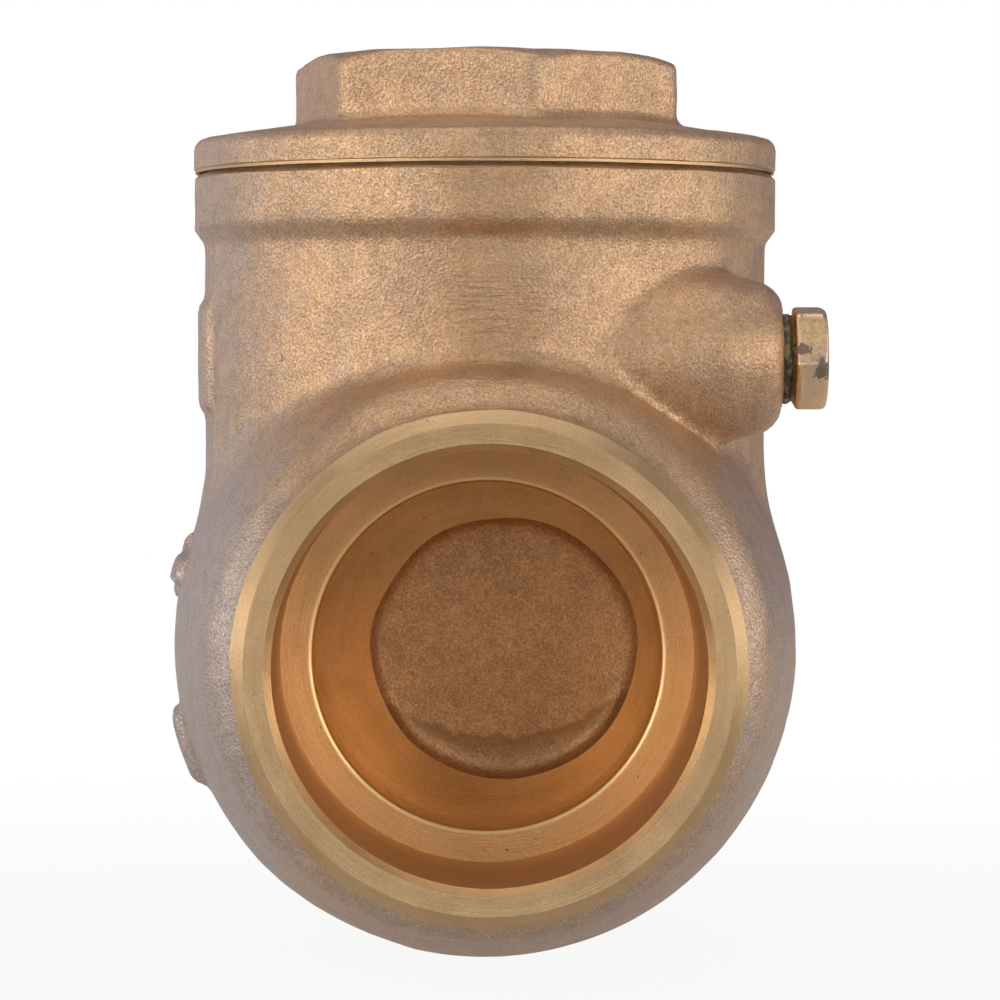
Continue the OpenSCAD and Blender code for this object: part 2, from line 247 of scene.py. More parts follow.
# Marks left where the casting's flash was ground off the neck's front
ground = {
    "x": 0.8,
    "halfWide": 4.2,
    "low": 22.0,
    "high": 33.5,
    "pitch": 0.42,
    "stretch": 0.1,
    "ragged": 3.0,
    "raggedSize": 1.6,
    "behind": (6.0, 12.0),
    "depth": 3.0,
    "tone": (0.40, 0.245, 0.13, 1),
    "share": 0.5,
}


def groundMarks(net, place, g):
    across, along, up = net.apart(place)
    ragged = net.noise(place, g["raggedSize"], 3.0, 0.7, 37.0) * g["ragged"] - g["ragged"] / 2
    shift = across - g["x"] + ragged
    wide = net.ease(shift * shift, g["halfWide"] ** 2 * 0.3, g["halfWide"] ** 2 * 1.4, 1.0, 0.0)
    tall = net.ease(up, g["low"], g["low"] + 1.5) * net.ease(up, g["high"] - 3.0, g["high"], 1.0, 0.0)
    front = net.ease(along, g["behind"][0], g["behind"][1], 1.0, 0.0)
    stretched = net.add("ShaderNodeCombineXYZ", {}, {
        0: across * g["stretch"], 1: along * g["stretch"], 2: up})
    lines = net.noise(stretched, g["pitch"], 2.0, 0.6, 29.0)
    band = wide * front * net.ease(up, g["low"], g["low"] + 3.0)
    return (lines - 0.5) * (wide * tall * front) * g["depth"], band * net.ease(lines, 0.3, 0.6, 1.0, 0.5)


def castBronze(name, look, marks=None):
    material, net = newFinish(name)
    place = net.place()
    extra, band = groundMarks(net, place, marks) if marks else (0.0, None)
    colour, rough, height = castSkinOf(net, place, look, extra)
    if marks:
        colour = net.mix(band * marks["share"], colour, marks["tone"])
    net.finish(colour, rough, look["metallic"], net.relief(height, look["depth"]))
    return material


# Turned bronze: fine rings round the axis it was turned on, a few pores and stains. Inside the bores the colours
# switch to a warmer copy that paints in the light bounced round in there, and a bright gold ring along the port's
# rounded edge is a painted highlight
turnedLook = {
    "bright": (0.62, 0.405, 0.215, 1),
    "dull": (0.52, 0.335, 0.17, 1),
    "innerBright": (0.78, 0.45, 0.20, 1),
    "innerDull": (0.66, 0.38, 0.16, 1),
    "stain": (0.34, 0.23, 0.11, 1),
    "edge": (0.93, 0.65, 0.31, 1),
    "ring": 0.09,
    "band": 1.3,
    "cloud": 5.0,
    "pore": 1.9,
    "spot": 0.9,
    "speckle": 0.16,
    "rough": (0.34, 0.46),
    "depth": 0.03,
}
# The disc's copy of the bore colours is darker still: painted shade, as the disc sits deep inside the valve
discLook = dict(turnedLook)
discLook.update({"innerBright": (0.62, 0.31, 0.115, 1), "innerDull": (0.49, 0.24, 0.085, 1)})


def turnedBronze(name, look, axis="Y", centre=(0, 0), edge=None):
    material, net = newFinish(name)
    place = net.place()
    parts = net.apart(place)
    along = parts["XYZ".index(axis)]
    first, second = [parts[i] for i in range(3) if "XYZ"[i] != axis]
    first = first - centre[0]
    second = second - centre[1]
    radius = (first * first + second * second) ** 0.5
    turn = net.add("ShaderNodeMath", {"operation": "ARCTAN2"}, {0: second, 1: first})
    track = net.add("ShaderNodeCombineXYZ", {}, {0: radius, 1: along, 2: turn * 0.35})
    rings = net.noise(track, look["ring"], 3.0, 0.65)
    bands = net.noise(track, look["band"], 2.0, 0.6, 5.0)
    cloud = net.noise(place, look["cloud"], 3.0, 0.6, 9.0)
    pores = net.ease(net.cells(place, look["pore"]), 0.0, 0.06, 1.0, 0.0)
    tone = net.ease(cloud * 0.6 + bands * 0.4, 0.36, 0.62)
    # Inside the bore the colour switches to the warmer copy: painted light bounced round inside the bore
    inside = net.ease(radius, socketR - 0.1, socketR + 0.9, 1.0, 0.0)
    inner = net.mix(tone, look["innerDull"], look["innerBright"])
    colour = net.mix(inside, net.mix(tone, look["dull"], look["bright"]), inner)
    spots = net.ease(net.noise(place, look["spot"], 3.0, 0.7, 13.0), 0.66, 0.76)
    colour = net.mix(spots * 0.5, colour, look["stain"])
    colour = net.mix(pores * 0.8, colour, look["stain"])
    speckle = net.noise(place, look["speckle"], 2.0, 0.7, 31.0)
    light = net.ease(speckle * 0.6 + rings * 0.4, 0.35, 0.65, 0.88, 1.1)
    colour = net.shaded(colour, light)
    height = rings + speckle * 0.5 + pores * -2.0
    rough = net.ease(cloud * 0.5 + rings * 0.5, 0.35, 0.65, look["rough"][0], look["rough"][1])
    # Painted highlight: a bright gold ring along the port's rounded edge
    if edge:
        near = net.ease(radius, edge + 0.2, edge + 0.45, 1.0, 0.0)
        near = near * net.ease(radius, edge - 0.25, edge - 0.05)
        colour = net.mix(near, colour, look["edge"])
        height = height * (1 - near)
    net.finish(colour, rough, 1.0, net.relief(height, look["depth"]))
    return material


# Grids, fields and skins: forms given as distances, in millimetres
class Grid:
    def __init__(self, low, high, cell):
        self.low = np.array(low, float)
        self.cell = cell
        counts = np.ceil((np.array(high, float) - self.low) / cell).astype(int) + 1
        lines = [(self.low[i] + cell * np.arange(counts[i])).astype(np.float32) for i in range(3)]
        self.lines = lines
        self.x = lines[0][:, None, None]
        self.y = lines[1][None, :, None]
        self.z = lines[2][None, None, :]


# Both forms, with a fillet between them
def weld(first, second, size):
    near = np.maximum(size - np.abs(first - second), 0)
    return np.minimum(first, second) - near * near / (4 * size)


# The first form without the second, with its edge rounded
def carve(solid, hollow, size):
    return -weld(-solid, hollow, size)


# What lies in both forms, with the edge between them rounded
def trim(first, second, size):
    return -weld(-first, -second, size)


def roundCorner(first, second, radius):
    first = first + radius
    second = second + radius
    outside = np.hypot(np.maximum(first, 0), np.maximum(second, 0))
    return np.minimum(np.maximum(first, second), 0) + outside - radius


# Waves about size wide and depth high, the same for the same seed
def unevenness(grid, size, depth, seed):
    counts = [int(math.ceil((line[-1] - line[0]) / size)) + 3 for line in grid.lines]
    knots = np.random.default_rng(seed).normal(0, depth, counts).astype(np.float32)
    weights = []
    for line, count in zip(grid.lines, counts):
        steps = (line - line[0]) / size
        left = np.floor(steps).astype(int)
        part = steps - left
        part = part * part * (3 - 2 * part)
        rows = np.zeros((len(line), count), np.float32)
        rows[np.arange(len(line)), left] = 1 - part
        rows[np.arange(len(line)), left + 1] = part
        weights.append(rows)
    return np.einsum("ia,jb,kc,abc->ijk", *weights, knots, optimize=True)


# The field's value at any points, from the eight grid corners round each
def sampled(field, grid, points):
    steps = (points - grid.low) / grid.cell
    top = np.array(field.shape) - 2
    base = np.clip(np.floor(steps).astype(int), 0, top)
    part = steps - base
    total = 0
    for corner in range(8):
        bits = np.array([corner & 1, corner >> 1 & 1, corner >> 2 & 1])
        share = np.prod(np.where(bits, part, 1 - part), axis=1)
        i, j, k = (base + bits).T
        total = total + share * field[i, j, k]
    return total


# A mesh over the places where the field is zero: one point in each cell it crosses
def skinned(name, field, grid):
    inside = field < 0
    shape = np.array(field.shape) - 1
    corners = [(c & 1, c >> 1 & 1, c >> 2 & 1) for c in range(8)]
    full = sum(
        inside[a:a + shape[0], b:b + shape[1], c:c + shape[2]].astype(np.int8)
        for a, b, c in corners
    )
    active = (full > 0) & (full < 8)
    cells = np.argwhere(active)
    number = np.full(active.shape, -1, np.int64)
    number[active] = np.arange(len(cells))
    values = np.stack([field[tuple((cells + c).T)] for c in corners], axis=1)
    total = np.zeros((len(cells), 3))
    count = np.zeros(len(cells))
    for a in range(8):
        for bit in (1, 2, 4):
            if a & bit:
                continue
            b = a | bit
            cross = (values[:, a] < 0) != (values[:, b] < 0)
            step = np.where(cross, values[:, a] / np.where(cross, values[:, a] - values[:, b], 1), 0)
            start = np.array(corners[a], float)
            way = np.array(corners[b], float) - start
            total += np.where(cross[:, None], start + way * step[:, None], 0)
            count += cross
    points = grid.low + grid.cell * (cells + total / count[:, None])
    for _ in range(3):  # steps that bring the points onto the surface
        value = sampled(field, grid, points)
        slope = np.stack([
            sampled(field, grid, points + offset) - sampled(field, grid, points - offset)
            for offset in np.eye(3) * grid.cell * 0.5
        ], axis=1) / grid.cell
        move = -value[:, None] * slope / np.maximum((slope ** 2).sum(1), 0.2)[:, None]
        points = points + np.clip(move, -grid.cell * 0.3, grid.cell * 0.3)
    faces = []
    for axis in range(3):  # a face for each grid edge that the surface crosses
        u, v = (axis + 1) % 3, (axis + 2) % 3
        first = np.take(inside, range(field.shape[axis] - 1), axis)
        second = np.take(inside, range(1, field.shape[axis]), axis)
        edges = np.argwhere(first != second)
        low = (edges[:, u] > 0) & (edges[:, v] > 0)
        high = (edges[:, u] < shape[u]) & (edges[:, v] < shape[v])
        edges = edges[low & high]
        facing = first[tuple(edges.T)]
        ring = []
        for du, dv in ((-1, -1), (0, -1), (0, 0), (-1, 0)):
            cell = edges.copy()
            cell[:, u] += du
            cell[:, v] += dv
            ring.append(number[tuple(cell.T)])
        quads = np.stack(ring, axis=1)
        faces.append(np.where(facing[:, None], quads, quads[:, ::-1]))
    mesh = bpy.data.meshes.new(name)
    mesh.from_pydata(points * mm, [], np.concatenate(faces).tolist())
    mesh.update()
    return linked(name, mesh)


def linked(name, mesh):
    made = bpy.data.objects.new(name, mesh)
    bpy.context.scene.collection.objects.link(made)
    return made


# Turned forms: an outline of (radius, distance along the axis), swept round the axis
def axisPlace(origin, axis):
    way = Vector(axis).normalized()
    return Matrix.Translation(Vector(origin)) @ way.to_track_quat("Z", "X").to_matrix().to_4x4()


def turned(name, outline, origin, axis, sides, closed=False, wander=None):
    place = axisPlace(origin, axis)
    mesh = bpy.data.meshes.new(name)
    work = bmesh.new()
    rings = []
    for radius, along in outline:
        if radius < 1e-6:
            rings.append([work.verts.new(place @ Vector((0, 0, along)) * mm)])
            continue
        ring = []
        for k in range(sides):
            angle = math.tau * k / sides
            reach = radius + (wander(angle, along) if wander else 0)
            spot = Vector((reach * math.cos(angle), reach * math.sin(angle), along))
            ring.append(work.verts.new(place @ spot * mm))
        rings.append(ring)
    pairs = list(zip(rings, rings[1:]))
    if closed:
        pairs.append((rings[-1], rings[0]))
    for first, second in pairs:
        if len(first) == 1 and len(second) == 1:
            continue
        for k in range(sides):
            n = (k + 1) % sides
            if len(first) == 1:
                work.faces.new((first[0], second[k], second[n]))
            elif len(second) == 1:
                work.faces.new((first[k], second[0], first[n]))
            else:
                work.faces.new((first[k], second[k], second[n], first[n]))
    bmesh.ops.recalc_face_normals(work, faces=work.faces)
    work.to_mesh(mesh)
    work.free()
    return linked(name, mesh)


def joined(objects):
    first = objects[0]
    chosen = {"selected_objects": objects, "selected_editable_objects": objects}
    with bpy.context.temp_override(active_object=first, **chosen):
        bpy.ops.object.join()
    return first


def combined(target, tool, operation="DIFFERENCE"):
    change = target.modifiers.new("combine", "BOOLEAN")
    change.operation = operation
    change.solver = "EXACT"
    change.material_mode = "TRANSFER"
    change.object = tool
    bpy.context.view_layer.update()
    ready = target.evaluated_get(bpy.context.evaluated_depsgraph_get())
    mesh = bpy.data.meshes.new_from_object(ready)
    old = target.data
    target.modifiers.clear()
    target.data = mesh
    bpy.data.meshes.remove(old)
    bpy.data.objects.remove(tool)
    return target


def dressed(piece, material):
    piece.data.materials.clear()
    piece.data.materials.append(material)
    return piece


def smoothed(piece, angle=38):
    piece.data.shade_smooth()
    piece.data.set_sharp_from_angle(angle=math.radians(angle))
    return piece


def seated(piece, body, slot, *nodes):
    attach(piece, body)
    if nodes:
        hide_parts(*nodes)
    print("stage:", piece.name, len(piece.data.polygons), "faces")


# The body: one casting, then turned at both ends, at the seat, the neck and the pin hole
body = {
    "cell": 0.64,
    "barrelR": 27.7,
    "bulgeR": 110.0,
    "shoulderOut": 2.5,
    "shoulderR": 5.0,
    "hubR": 20.8,
    "hubFillet": 1.6,
    "wall": 3.4,
    "inletWall": 4.0,
    "outletWall": 2.6,
    "chamberRound": 2.5,
    "chamberFillet": 1.5,
    "chamberEdge": 0.8,
    "neckR": 25.05,
    "neckFillet": 2.0,
    "collarProud": 0.95,
    "collarH": 4.7,
    "collarSlope": 1.5,
    "neckBoreR": 22.0,
    "threadR": 22.6,
    "threadH": 8.5,
    "threadDepth": 0.55,
    "threadPitch": 1.5,
    "portR": 14.72,
    "portEdge": 0.4,
    "inletBore": 11.0,
    "outletBore": 4.4,
    "ringR": 17.02,
    "ringFillet": 1.0,
    "discRoomR": 18.7,
    "discRoomH": 3.4,
    "rimChamfer": 1.05,
    "mouthChamfer": 0.6,
    "bossReach": 25.6,
    "bossRadii": ((8.0, 7.2), (17.0, 7.5), (21.0, 7.15), (25.6, 6.05)),
    "bossNose": 1.9,
    "bossFillet": 1.0,
    "pinR": 2.05,
    "pinEnd": -17.65,
    "plugR": 3.65,
    "plugDepth": 8.5,
    "lugFace": 8.7,
    "lugR": 4.55,
    "lugFillet": 1.2,
    "markProud": 1.0,
    "markH": 6.3,
    "markSlope": 0.7,
    "markFillet": 0.6,
    "markEnd": -12.0,
    "arrow": {"z": 6.85, "length": 24.0, "head": 8.0},
    "bar": {"z": -8.85, "length": 22.0},
    "pad": {"z": 25.5, "length": 14.0, "height": 9.6, "proud": 0.65},
    "waves": ((5.5, 0.055, 11), (1.9, 0.03, 12)),
}


def flatBox(across, up, halfAcross, halfUp):
    return np.maximum(np.abs(across) - halfAcross, np.abs(up) - halfUp)


def barrelField(rho, s, b, grow=0.0):
    bulgeCentre = b["barrelR"] - b["bulgeR"]
    bulge = np.hypot(rho - bulgeCentre, s) - (b["bulgeR"] + grow)
    ends = np.abs(s) - (midY - stopIn + b["shoulderOut"] + b["shoulderR"] + grow)
    return roundCorner(bulge, ends, b["shoulderR"])


def reliefField(grid, rho, q, s, b):
    up = grid.z - b["arrow"]["z"]
    tip = b["arrow"]["length"] / 2
    base = tip - b["arrow"]["head"]
    slant = math.atan2(b["markH"] / 2, b["arrow"]["head"])
    head = np.maximum(np.abs(up) * math.cos(slant) + (s - tip) * math.sin(slant), base - s)
    shaft = flatBox(s - (base - tip) / 2, up, (base + tip) / 2 + 0.2, b["markH"] * 0.2)
    bar = flatBox(s, grid.z - b["bar"]["z"], b["bar"]["length"] / 2, b["markH"] / 2)
    proud = barrelField(rho, s, b, b["markProud"])
    marks = trim(np.minimum(np.minimum(head, shaft), bar) + 0 * grid.x, proud, b["markSlope"])
    padFace = q - (b["neckR"] + b["pad"]["proud"])
    pad = flatBox(s, grid.z - b["pad"]["z"], b["pad"]["length"] / 2, b["pad"]["height"] / 2)
    pad = trim(pad + 0 * grid.x, padFace, b["markSlope"])
    return np.maximum(np.minimum(marks, pad), grid.x - b["markEnd"])


def bodyField(grid, b):
    s = grid.y - midY
    rho = np.hypot(grid.x, grid.z)
    q = np.hypot(grid.x, s)
    hub = np.maximum(rho - b["hubR"], np.abs(s) - (faceOut - midY + 1.5))
    shell = weld(barrelField(rho, s, b), hub, b["hubFillet"])
    slopeZ = neckTop - b["collarH"] - b["collarSlope"]
    rise = np.clip((grid.z - slopeZ) / b["collarSlope"], 0, 1)
    neckSide = q - (b["neckR"] + b["collarProud"] * rise * rise * (3 - 2 * rise))
    neck = np.maximum(neckSide, np.maximum(grid.z - neckTop - 1.5, -grid.z))
    shell = weld(shell, neck, b["neckFillet"])
    aroundPin = np.hypot(grid.y - pinY, grid.z - pinZ)
    reach, radii = zip(*b["bossRadii"])
    bossSide = aroundPin - np.interp(grid.x, reach, radii)
    boss = roundCorner(bossSide, grid.x - b["bossReach"], b["bossNose"])
    shell = weld(shell, np.maximum(boss, b["lugFace"] - grid.x), b["bossFillet"])
    shell = weld(shell, reliefField(grid, rho, q, s, b), b["markFillet"])
    skin = sum(unevenness(grid, *wave) for wave in b["waves"])
    shell = shell + skin
    bulgeCentre = b["barrelR"] - b["bulgeR"]
    inner = np.hypot(rho - bulgeCentre, s) - (b["bulgeR"] - b["wall"])
    ends = np.maximum(stopIn + b["inletWall"] - midY - s, s - (stopOut - b["outletWall"] - midY))
    chamber = trim(inner, ends + 0 * rho, b["chamberRound"])
    neckHole = np.maximum(q - b["neckBoreR"], -grid.z)
    shell = carve(shell, weld(chamber, neckHole, b["chamberFillet"]) - skin, b["chamberEdge"])
    lugEnds = np.maximum(b["lugFace"] - np.abs(grid.x), q - b["neckBoreR"] - 1)
    shell = weld(shell, np.maximum(aroundPin - b["lugR"], lugEnds), b["lugFillet"])
    aboveSeat = (grid.y - seatY) * math.cos(tilt) + grid.z * math.sin(tilt)
    ring = np.maximum(rho - b["ringR"], np.maximum(stopIn + 2 - grid.y, aboveSeat - 0.6))
    return weld(shell, ring, b["ringFillet"])


def endCutter(name, face, stop, way, portEnd, b, material):
    flatR = b["hubR"] - b["rimChamfer"]
    over = 6.0
    depth = abs(stop - face)
    outline = [
        (0, -over), (flatR + over, -over), (flatR + over, over), (flatR, 0),
        (socketR + b["mouthChamfer"], 0), (socketR, b["mouthChamfer"]), (socketR, depth),
    ]
    edge = b["portEdge"]
    outline.append((b["portR"] + edge * 1.6, depth))
    for k in range(5):
        turn = math.radians(22.5 * k)
        outline.append((b["portR"] + edge * (1 - math.sin(turn)), depth + edge * (1 - math.cos(turn))))
    outline += [(b["portR"], depth + portEnd), (0, depth + portEnd)]
    return dressed(turned(name, outline, (0, face, 0), (0, way, 0), 224), material)


def neckCutter(b, material):
    low = neckTop - b["threadH"]
    bore = b["neckBoreR"]
    thread = b["threadR"]
    collarR = b["neckR"] + b["collarProud"]
    crest = thread + b["threadDepth"]
    pitch = b["threadPitch"]
    outline = [(0, low), (bore, low), (thread, low + 0.6)]
    for k in range(int((b["threadH"] - 1.6) / pitch)):
        start = low + 0.9 + pitch * k
        outline += [(thread, start), (crest, start + pitch * 0.42), (thread, start + pitch * 0.84)]
    outline += [
        (thread, neckTop - 0.4), (thread + 0.4, neckTop), (collarR - 0.35, neckTop),
        (collarR + 3, neckTop - 3.35), (collarR + 3, neckTop + 4), (0, neckTop + 4),
    ]
    return dressed(turned("neckCutter", outline, (0, midY, 0), (0, 0, 1), 224), material)


def pinCutter(b, material):
    reach = b["bossReach"]
    plugFoot = reach - b["plugDepth"]
    mouthR = b["plugR"] + 0.9
    outline = [
        (0, b["pinEnd"]), (b["pinR"], b["pinEnd"]), (b["pinR"], plugFoot), (b["plugR"], plugFoot + 0.8),
        (b["plugR"], reach - 0.35), (mouthR, reach + 0.55), (mouthR, reach + 3), (0, reach + 3),
    ]
    return dressed(turned("pinCutter", outline, (0, pinY, pinZ), (1, 0, 0), 64), material)


def seatCutter(b, material):
    outline = [(0, 0), (b["discRoomR"], 0), (b["discRoomR"], b["discRoomH"]), (0, b["discRoomH"])]
    return dressed(turned("seatCutter", outline, (0, seatY, 0), seatAxis, 160), material)


castSkin = castBronze("castBronzeBody", castLook, ground)
turnedFlow = turnedBronze("turnedBronzeEnds", turnedLook, "Y", edge=body["portR"] + 0.05)
turnedNeck = turnedBronze("turnedBronzeNeck", turnedLook, "Z", (0, midY))

bodyGrid = Grid(bodyLow - 2.6, bodyHigh + 2.6, body["cell"])
bodyPiece = dressed(skinned("bodyCasting", bodyField(bodyGrid, body), bodyGrid), castSkin)
print("stage: body skin", len(bodyPiece.data.polygons))
cutters = [
    endCutter("inletCutter", faceIn, stopIn, 1, body["inletBore"], body, turnedFlow),
    endCutter("outletCutter", faceOut, stopOut, -1, body["outletBore"], body, turnedFlow),
    neckCutter(body, turnedNeck),
    pinCutter(body, turnedNeck),
]
bodyPiece = combined(bodyPiece, joined(cutters))
bodyPiece = combined(bodyPiece, seatCutter(body, turnedFlow))
smoothed(bodyPiece)
seated(bodyPiece, "housing", "cast_bronze_body", "valve_body")


# The cap: cast flange and hexagon, turned below
cap = {
    "cell": 0.32,
    "flangeR": 26.05,
    "flangeH": 2.9,
    "rise": 1.2,
    "rimR": 0.9,
    "hexAf": 31.0,
    "hexH": 6.3,
    "hexTurn": 14.3,
    "hexCorner": 0.9,
    "bevelFrom": 15.3,
    "bevelSlope": 20.0,
    "topRound": 0.5,
    "footFillet": 1.1,
    "spigotH": 7.0,
    "spigotR": 22.45,
    "threadDepth": 0.5,
    "threadPitch": 1.5,
    "threadTurns": 3,
    "hollowR": 19.6,
    "crownR": 12.5,
    "crownH": 7.5,
    "lipH": 0.25,
    "lipIn": 0.15,
    "waves": ((4.5, 0.045, 21), (1.5, 0.025, 22)),
}


def hexField(across, up, flats, turnDegrees, corner):
    field = None
    for k in range(3):
        angle = math.radians(turnDegrees + 60 * k)
        side = np.abs(across * math.cos(angle) + up * math.sin(angle)) - flats / 2
        field = side if field is None else trim(field, side, corner)
    return field


def capField(grid, c):
    s = grid.y - midY
    q = np.hypot(grid.x, s)
    up = grid.z - capBase
    hexR = c["hexAf"] / math.sqrt(3)
    slope = c["rise"] / (c["flangeR"] - hexR)
    lean = math.cos(math.atan(slope))
    top = (up - c["flangeH"] - slope * np.maximum(c["flangeR"] - q, 0)) * lean
    flange = np.maximum(roundCorner(q - c["flangeR"] + 0 * up, top, c["rimR"]), -up - 1)
    hexTop = c["flangeH"] + c["rise"] + c["hexH"]
    sides = hexField(grid.x, s, c["hexAf"], c["hexTurn"] - 60, c["hexCorner"])
    bevel = math.radians(c["bevelSlope"])
    cone = (q - c["bevelFrom"]) * math.sin(bevel) + (up - hexTop) * math.cos(bevel)
    crown = trim(sides + 0 * up, trim(cone, up - hexTop + 0 * q, 0.3), c["topRound"])
    field = weld(flange, np.maximum(crown, -up), c["footFillet"])
    for wave in c["waves"]:
        field = field + unevenness(grid, *wave)
    return field


def capCutter(c, material):
    edge = c["flangeR"]
    lip = edge - c["lipIn"]
    outline = [
        (0, -5), (edge + 4, -5), (edge + 4, 2.5), (edge + 0.25, c["lipH"] + 0.25),
        (lip, c["lipH"]), (lip, 0), (c["hollowR"], 0), (c["crownR"], c["flangeH"]),
        (c["crownR"], c["crownH"] - 2), (c["crownR"] - 2, c["crownH"]), (0, c["crownH"]),
    ]
    return dressed(turned("capCutter", outline, (0, midY, capBase), (0, 0, 1), 224), material)


def spigotRing(c, material):
    outer = c["spigotR"]
    root = outer - c["threadDepth"]
    foot = -c["spigotH"]
    pitch = c["threadPitch"]
    outline = [(c["hollowR"], foot), (outer - 1.1, foot), (root, foot + 0.6)]
    for k in range(c["threadTurns"]):
        start = foot + 0.7 + pitch * k
        outline += [(root, start), (outer, start + pitch * 0.4), (root, start + pitch * 0.8)]
    outline += [(outer - 0.6, -1.5), (outer - 0.6, 0.6), (c["hollowR"] - 1.2, 0.6), (c["hollowR"], -0.1)]
    ring = turned("spigotRing", outline, (0, midY, capBase), (0, 0, 1), 224, closed=True)
    return dressed(ring, material)


castCap = castBronze("castBronzeCap", castLook)
capReach = 27.4
capGrid = Grid(
    (-capReach, midY - capReach, capBase - 2.2),
    (capReach, midY + capReach, capTop + 1.5),
    cap["cell"],
)
capPiece = dressed(skinned("capCasting", capField(capGrid, cap), capGrid), castCap)
capPiece = combined(capPiece, capCutter(cap, turnedNeck))
capPiece = combined(capPiece, spigotRing(cap, turnedNeck), "UNION")
smoothed(capPiece)
seated(capPiece, "housing", "cast_bronze_cap", "cap")


# The disc: turned face, with a hollow that stays rough from the mould
disc = {
    "r": 17.17,
    "thick": 3.0,
    "bossR": 6.55,
    "bossH": 0.6,
    "studR": 3.0,
    "studEnd": 12.6,
    "threadFrom": 7.6,
    "threadPitch": 1.0,
    "threadDepth": 0.45,
    "threadTurns": 4,
    "hollowR": 11.36,
    "hollowDepth": 0.95,
    "hollowWander": 0.035,
    "hollowShift": (1.55, 0.25),
}


def seatPoint(across, back, up):
    return (
        across,
        seatY + back * math.cos(tilt) - up * math.sin(tilt),
        back * math.sin(tilt) + up * math.cos(tilt),
    )


def discPiece(d, faceMaterial, hollowMaterial):
    thick = d["thick"]
    start = d["threadFrom"]
    outline = [
        (0, 0), (d["r"] * 0.5, 0), (d["r"] - 0.35, 0), (d["r"], 0.35), (d["r"], thick - 0.8),
        (d["r"] - 0.8, thick), (d["bossR"] - 0.6, thick), (d["bossR"] - 1.0, thick + d["bossH"]),
        (d["studR"], thick + d["bossH"]), (d["studR"], start - 0.2),
    ]
    for k in range(d["threadTurns"]):
        turn = start + d["threadPitch"] * k
        root = start + d["threadPitch"] * (k + 0.5)
        outline += [(d["studR"], turn), (d["studR"] - d["threadDepth"], root)]
    outline += [(d["studR"], d["studEnd"] - 0.5), (d["studR"] - 0.5, d["studEnd"]), (0, d["studEnd"])]
    made = dressed(turned("discTurned", outline, seatPoint(0, 0, 0), seatAxis, 192), faceMaterial)
    waves = np.random.default_rng(31).normal(0, 1, (7, 2))

    def wander(angle, along):
        size = d["hollowWander"]
        return sum(size * a * math.cos((k + 2) * angle + 3 * b) for k, (a, b) in enumerate(waves))

    depth = d["hollowDepth"]
    r = d["hollowR"]
    hollow = [
        (0, -1), (r + 0.3, -1), (r + 0.12, -0.02), (r - 0.05, depth * 0.2), (r - 0.3, depth * 0.55),
        (r - 0.7, depth * 0.82), (r - 1.2, depth * 0.96), (r - 1.9, depth), (0, depth),
    ]
    across, up = d["hollowShift"]
    cutter = turned("discHollow", hollow, seatPoint(across, 0, up), seatAxis, 144, wander=wander)
    return smoothed(combined(made, dressed(cutter, hollowMaterial)), 30)


# The hollow's floor, with a shallow step along its lower edge; shade is painted on the floor below the step, with
# a darker band painted under the step's edge as its shadow
hollowStep = {
    "centre": (1.03, 9.33),
    "r": 16.75,
    "wander": 2.6,
    "wanderSize": 2.3,
    "drop": 0.45,
    "rough": 0.42,
    "dark": (0.30, 0.165, 0.075, 1),
}


def hollowBronze(name, look, step):
    material, net = newFinish(name)
    place = net.place()
    across, _, up = net.apart(place)
    across = across - step["centre"][0]
    up = up - step["centre"][1]
    ragged = (net.noise(place, step["wanderSize"], 4.0, 0.7, 23.0) - 0.5) * step["wander"]
    out = (across * across + up * up) ** 0.5 + ragged
    below = net.ease(out, step["r"] - 0.2, step["r"] + 0.3)
    line = below * net.ease(out, step["r"] + 0.2, step["r"] + 1.9, 1.0, 0.0)
    colour, rough, height = castSkinOf(net, place, look, below * -step["drop"])
    # Painted shade: the floor below the step is darkened, and the band just under the step's edge darker still as
    # its shadow
    colour = net.mix(below * 0.4 + line * 0.35, colour, step["dark"])
    rough = rough + below * (step["rough"] - look["rough"][0])
    net.finish(colour, rough, look["metallic"], net.relief(height, look["depth"]))
    return material


discHollow = hollowBronze("castBronzeHollow", hollowLook, hollowStep)
discFace = turnedBronze("turnedBronzeDisc", discLook, "Y")
seated(discPiece(disc, discFace, discHollow), "flap", "turned_bronze", "disc")


# The arm that carries the disc, and the nut on the disc's stud
arm = {
    "cell": 0.3,
    "back": 3.8,
    "thick": 3.4,
    "width": 9.0,
    "hubR": 6.55,
    "eyeR": 4.25,
    "eyeHalf": 8.2,
    "pinUp": 24.8,
    "holeR": 3.15,
    "round": 0.5,
    "strapFillet": 1.5,
    "eyeFillet": 1.8,
    "wave": (3.0, 0.04, 41),
}
nut = {"cell": 0.2, "back": 8.2, "flats": 10.0, "thick": 3.2, "boreR": 3.02}


def leaned(piece, back):
    move = Matrix.Translation(Vector(seatPoint(0, back, 0)) * mm)
    piece.data.transform(move @ Matrix.Rotation(tilt, 4, "X"))
    return piece


